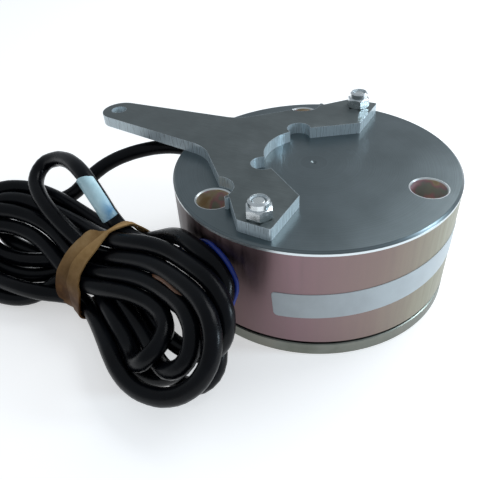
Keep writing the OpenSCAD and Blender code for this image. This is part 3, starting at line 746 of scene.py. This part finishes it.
# the closed coil at each end rises by about the wire's own thickness
closed_rise = 0.00151
helices = []
for pocket in range(spring_count):
    middle = math.radians(360 / spring_count * pocket + 30)
    helix = []
    for wound in np.linspace(0, coils, 140):
        height = np.interp(wound, (0, closed_coils, coils - closed_coils, coils),
                           (spring_low_z, spring_low_z + closed_rise,
                            spring_high_z - closed_rise, spring_high_z))
        angle = middle + 2 * math.pi * wound
        helix.append((pocket_circle_r * math.cos(middle) + coil_r * math.cos(angle),
                      pocket_circle_r * math.sin(middle) + coil_r * math.sin(angle), height))
    helices.append(helix)
springs = wire_runs("springs_in_the_pole", spring_wire_r, helices)
bpy.ops.object.select_all(action="DESELECT")
springs.select_set(True)
bpy.context.view_layer.objects.active = springs
bpy.ops.object.convert(target="MESH")
springs = bpy.context.object
bpy.ops.object.shade_smooth()
springs.data.materials.clear()
springs.data.materials.append(mottled_finish(
    "spring_steel", (0.2, 0.2, 0.205), 0.3, scales=(2400, 300),
    stops=[(0.3, (0.12, 0.11, 0.10)), (0.7, (0.27, 0.27, 0.28))],
    rough=(0.22, 0.4), relief=(0.00004, 0.3), rough_by="grain", metallic=1.0))
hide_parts("torque_springs")
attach(springs, "brake")
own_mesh(springs)

# Spacer bushes: turned steel sleeves with the yellow finish, pressed into the screw holes.
# Each keeps its screw in the middle of the hole.
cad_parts["spacer_bushes"].data.materials[0] = mottled_finish(
    "passivated_bush", (0.36, 0.26, 0.12), 0.32, scales=(2000, 180),
    stops=[(0.32, (0.30, 0.20, 0.07)), (0.5, (0.42, 0.32, 0.16)), (0.68, (0.38, 0.24, 0.22))],
    rough=(0.26, 0.42), relief=(0.00005, 0.3), rough_by="grain", metallic=1.0)

# Armature: a flat disc of plain steel, ground grey green, with the marks of turning on its
# faces. The springs hold it off the pole, and the two studs are seated in it.
armature, tree, shader = start_material("plain_steel", (0.19, 0.2, 0.175), 0.4, 1.0)
place = object_place(tree)
x, y, _ = split_axes(tree, place)
rings = turned_rings(tree, from_axis(tree, x, y), 1800)
_, patches = place_grain(tree, place, fine=1400, broad=60)
steel = colour_steps(tree, patches, [(0.3, (0.17, 0.18, 0.15)), (0.5, (0.24, 0.25, 0.22)),
                                     (0.75, (0.32, 0.31, 0.27))])
steel = mix_colours(tree, value_range(tree, rings, 0.3, 0.7, 0, 0.4), steel, (0.12, 0.125, 0.11))
link_finish(tree, shader, steel, value_range(tree, patches, 0.3, 0.7, 0.32, 0.5))
add_bump(tree, shader, rings, 0.00005, 0.4)
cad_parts["armature_plate"].data.materials[0] = armature

# Release lever: one steel plate cut to outline. Its faces are satin zinc, and its cut edge
# is brighter, with the fine upright lines of the cut. Its corners are painted pale, as the
# highlight a rounded edge catches.
edge_highlight_width = 0.0005
lever, tree, shader = start_material("zinc_plate", (0.2, 0.215, 0.21), 0.4, 1.0)
place = object_place(tree)
true_normal = add_node(tree, "ShaderNodeNewGeometry").outputs["True Normal"]
_, _, upward = split_axes(tree, true_normal)
flat = calculate(tree, "GREATER_THAN", calculate(tree, "ABSOLUTE", upward), 0.7)
x, y, z = split_axes(tree, place)
cut_place = add_node(tree, "ShaderNodeCombineXYZ", {"X": x, "Y": y,
                                                    "Z": multiply(tree, z, 0.04)}).outputs[0]
cut = noise(tree, cut_place, 2600, 1)
brush_place = add_node(tree, "ShaderNodeMapping", {"Vector": place, "Scale": (0.12, 1, 1)}).outputs[0]
brushed = noise(tree, brush_place, 1500)
_, patches = place_grain(tree, place, fine=1700, broad=55)
plate = colour_steps(tree, patches, [(0.3, (0.145, 0.168, 0.168)), (0.55, (0.175, 0.20, 0.20)),
                                     (0.75, (0.205, 0.23, 0.234))])
plate = mix_colours(tree, value_range(tree, brushed, 0.35, 0.7, 0, 0.3), plate, (0.11, 0.122, 0.122))
edge = colour_steps(tree, cut, [(0.3, (0.50, 0.58, 0.62)), (0.7, (0.55, 0.64, 0.68))])
# near a corner the rounded normal turns away from the face's own
rounded = add_node(tree, "ShaderNodeBevel", {"Radius": edge_highlight_width}, samples=4).outputs["Normal"]
turned = add_node(tree, "ShaderNodeVectorMath", {0: rounded, 1: true_normal},
                  operation="DOT_PRODUCT").outputs["Value"]
# corners painted pale, as the highlight a rounded edge catches
edge_highlight = value_range(tree, turned, 0.97, 0.8, 0, 1)
colour = mix_colours(tree, edge_highlight, mix_colours(tree, flat, edge, plate), (0.70, 0.78, 0.82))
rough_edge = value_range(tree, cut, 0.3, 0.7, 0.26, 0.32)
rough_plate = value_range(tree, patches, 0.3, 0.7, 0.34, 0.48)
link_finish(tree, shader, colour, blend(tree, flat, rough_edge, rough_plate))
add_bump(tree, shader, blend(tree, flat, multiply(tree, cut, 0.3), brushed), 0.00002, 0.3)
tree.links.new(value_range(tree, flat, 0, 1, 0.45, 1), shader.inputs["Metallic"])
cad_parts["release_lever"].data.materials[0] = lever

# Studs and lock nuts: bright zinc on steel. The stud's thread shows in the nut, a millimetre
# a turn, and each nut's collar holds a pale locking ring of nylon.
fastener = mottled_finish(
    "zinc_fastener", (0.78, 0.82, 0.83), 0.22, scales=(2200, 300),
    stops=[(0.3, (0.62, 0.66, 0.67)), (0.7, (0.84, 0.88, 0.90))],
    rough=(0.16, 0.32), relief=(0.00004, 0.3), metallic=1.0)
thread_pitch = 0.001
stud, tree, shader = start_material("zinc_stud", (0.66, 0.70, 0.70), 0.26, 1.0)
place = object_place(tree)
_, _, height = split_axes(tree, place)
thread = upright_waves(tree, height, thread_pitch)
_, patches = place_grain(tree, place, fine=2200, broad=300)
# the thread's grooves are painted darker, as the shade that falls in them
link_finish(tree, shader, colour_steps(tree, value_range(tree, thread, -1, 1, 0, 1),
                                       [(0.1, (0.34, 0.36, 0.36)), (0.7, (0.74, 0.78, 0.78))]),
            value_range(tree, patches, 0.3, 0.7, 0.2, 0.36))
add_bump(tree, shader, thread, 0.0002, 0.6)
nylon = mottled_finish(
    "nylon", (0.76, 0.84, 0.87), 0.4, scales=(2600, 400),
    stops=[(0.3, (0.68, 0.76, 0.80)), (0.7, (0.82, 0.88, 0.91))],
    rough=(0.32, 0.5), relief=(0.00005, 0.3), rough_by="grain")
for side in ("left", "right"):
    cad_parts["lock_nut_" + side].data.materials[0] = fastener
    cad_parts["release_stud_" + side].data.materials[0] = stud
    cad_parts["nylon_ring_" + side].data.materials[0] = nylon

# Label: a strip of pale grey plastic film, glued round the wall and a little slanted.
# It is left blank.
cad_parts["blank_label"].data.materials[0] = mottled_finish(
    "label_film", (0.56, 0.60, 0.62), 0.36, scales=(1500, 65),
    stops=[(0.3, (0.50, 0.54, 0.56)), (0.7, (0.60, 0.65, 0.67))],
    rough=(0.28, 0.44), relief=(0.00004, 0.3))

# Floor: a plain pale table that keeps the soft shadow. What the camera and the shiny
# parts see of it is lifted nearly to white, as in the photograph.
bpy.ops.object.select_all(action="DESELECT")
bpy.ops.mesh.primitive_plane_add(size=6)
floor = bpy.context.object
floor.name = floor.data.name = "floor"
table, tree, shader = start_material("floor", (0.8, 0.8, 0.8), 0.9, specular=0.1)
rays = add_node(tree, "ShaderNodeLightPath")
mirrored = calculate(tree, "MAXIMUM", rays.outputs["Is Glossy Ray"], rays.outputs["Is Transmission Ray"])
seen = calculate(tree, "MAXIMUM", rays.outputs["Is Camera Ray"], mirrored)
shader.inputs["Emission Color"].default_value = (1, 1, 1, 1)
tree.links.new(multiply(tree, seen, 0.5), shader.inputs["Emission Strength"])
floor.data.materials.append(table)

# Light: an even, faintly blue room, a large soft lamp above and behind, and a cool window
# low on the right.
world = bpy.data.worlds.new("room")
bpy.context.scene.world = world
world.use_nodes = True
world.node_tree.nodes["Background"].inputs["Color"].default_value = (0.86, 0.93, 1.0, 1)
world.node_tree.nodes["Background"].inputs["Strength"].default_value = 0.45


def soft_lamp(name, place, target, size, power, colour):
    """A square soft lamp that faces its target."""
    data = bpy.data.lights.new(name, "AREA")
    data.size = size
    data.energy = power
    data.color = colour
    lamp = bpy.data.objects.new(name, data)
    bpy.context.scene.collection.objects.link(lamp)
    lamp.location = place
    lamp.rotation_euler = (Vector(place) - Vector(target)).to_track_quat("Z", "Y").to_euler()


soft_lamp("soft_top", (0.30, 0.70, 0.80), target=(0, 0, 0), size=0.7, power=5.5,
          colour=(0.93, 0.97, 1.0))
soft_lamp("window", (0.85, 0.30, 0.32), target=(-0.03, -0.05, 0.03), size=0.18, power=4,
          colour=(0.72, 0.88, 1.0))
bpy.context.scene.view_settings.view_transform = "Standard"
